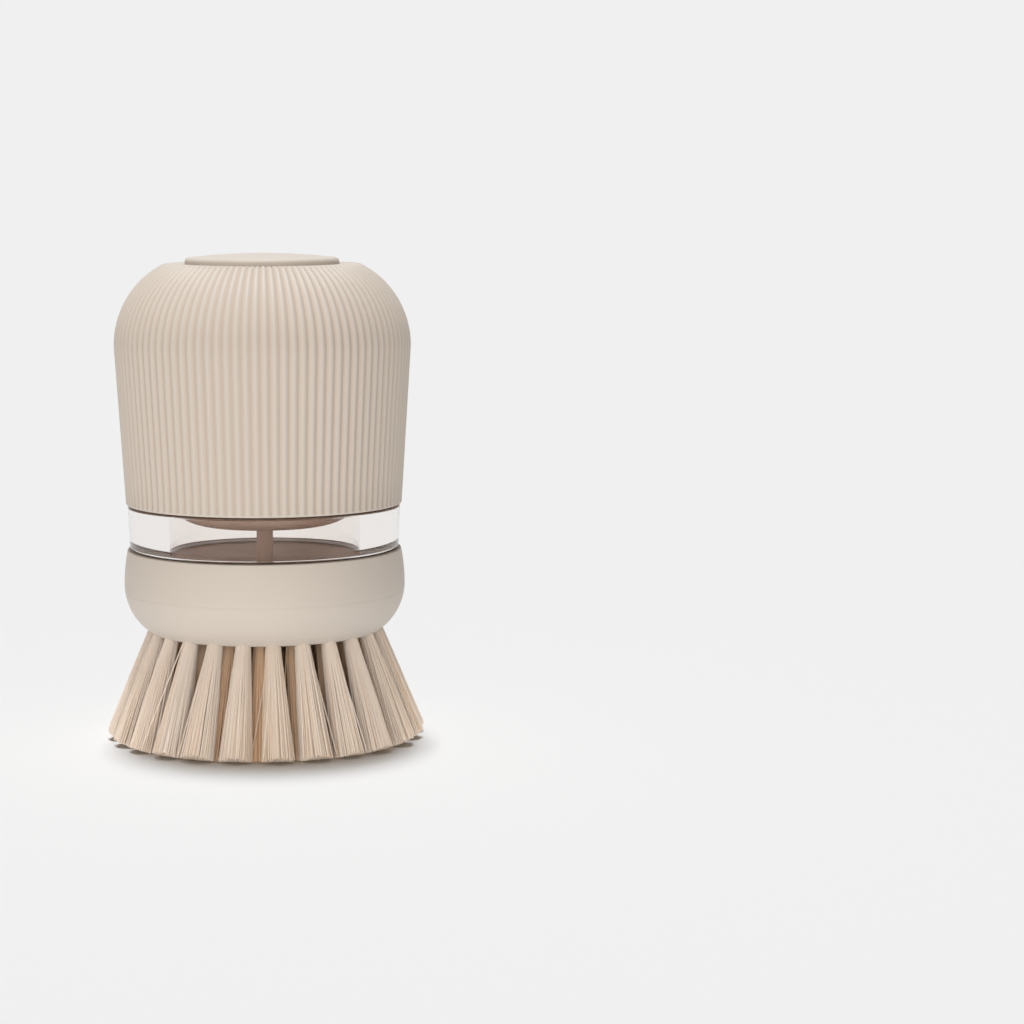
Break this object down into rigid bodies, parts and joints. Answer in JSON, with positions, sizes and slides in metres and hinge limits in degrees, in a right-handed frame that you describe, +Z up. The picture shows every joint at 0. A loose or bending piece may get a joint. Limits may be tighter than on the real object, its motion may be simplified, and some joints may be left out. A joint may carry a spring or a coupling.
{
  "type": "soap dispensing dish brush",
  "caption": "Palm-held dish brush with a ribbed dome grip, a push button that lets soap through a spring valve, a clear soap ring and splayed bristle tufts.",
  "frame": {"origin": "on the brush's axis, at the level of the bristle tips that it stands on", "axes": "+Z up along the axis, from the bristle tips to the button; -Y faces the picture's camera"},
  "size_m": [0.0772, 0.0772, 0.121],
  "materials": {
    "cream_plastic": "fine matte moulded polypropylene, warm cream",
    "bristle": "satin nylon filaments, warm beige",
    "clear_plastic": "clear polished plastic with a faint rose tint",
    "inner_plastic": "smooth moulded plastic, warm tan",
    "silicone": "matte silicone",
    "spring_steel": "drawn stainless wire"
  },
  "bodies": {
    "head": {"base_collar": "cream_plastic", "brush_block": "cream_plastic", "core_tufts": "bristle", "inner_tufts": "bristle", "middle_tufts": "bristle", "outer_tufts": "bristle", "valve_seat": "inner_plastic", "valve_cage": "inner_plastic", "valve_spring": "spring_steel", "clear_reservoir": "clear_plastic", "reservoir_gasket": "silicone"},
    "valve": {"valve_poppet": "inner_plastic", "poppet_seal": "silicone"},
    "seal_ring": {"lid_seal": "silicone"},
    "grip": {"grip_shell": "cream_plastic", "grip_core": "inner_plastic", "reservoir_lid": "inner_plastic", "rod_wiper": "silicone", "button_guide": "inner_plastic", "button_retainer": "cream_plastic", "return_spring": "spring_steel", "guide_screw_1": "spring_steel", "guide_screw_2": "spring_steel", "guide_screw_3": "spring_steel"},
    "button": {"press_button": "cream_plastic", "push_rod": "inner_plastic"}
  },
  "joints": [
    {"name": "button_press", "type": "slide", "parent": "grip", "child": "button", "axis": [0, 0, -1], "range_m": [0, 0.003], "stiffness_N_per_m": 600, "springref_m": -0.006, "deforming": ["return_spring"]},
    {"name": "valve_open", "type": "slide", "parent": "head", "child": "valve", "axis": [0, 0, -1], "range_m": [0, 0.0031], "stiffness_N_per_m": 150, "springref_m": -0.004, "deforming": ["valve_spring"]},
    {"name": "grip_lift", "type": "slide", "parent": "head", "child": "seal_ring", "axis": [0, 0, 1], "range_m": [0, 0.0061]},
    {"name": "grip_turn", "type": "hinge", "parent": "seal_ring", "child": "grip", "pos_m": [0, 0, 0.065], "axis": [0, 0, 1], "range_deg": [0, 360]}
  ],
  "couplings": [
    {"joint": "valve_open", "follows": "button_press", "ratio": 1},
    {"joint": "grip_lift", "follows": "grip_turn", "m_per_rad": 0.00095493}
  ]
}
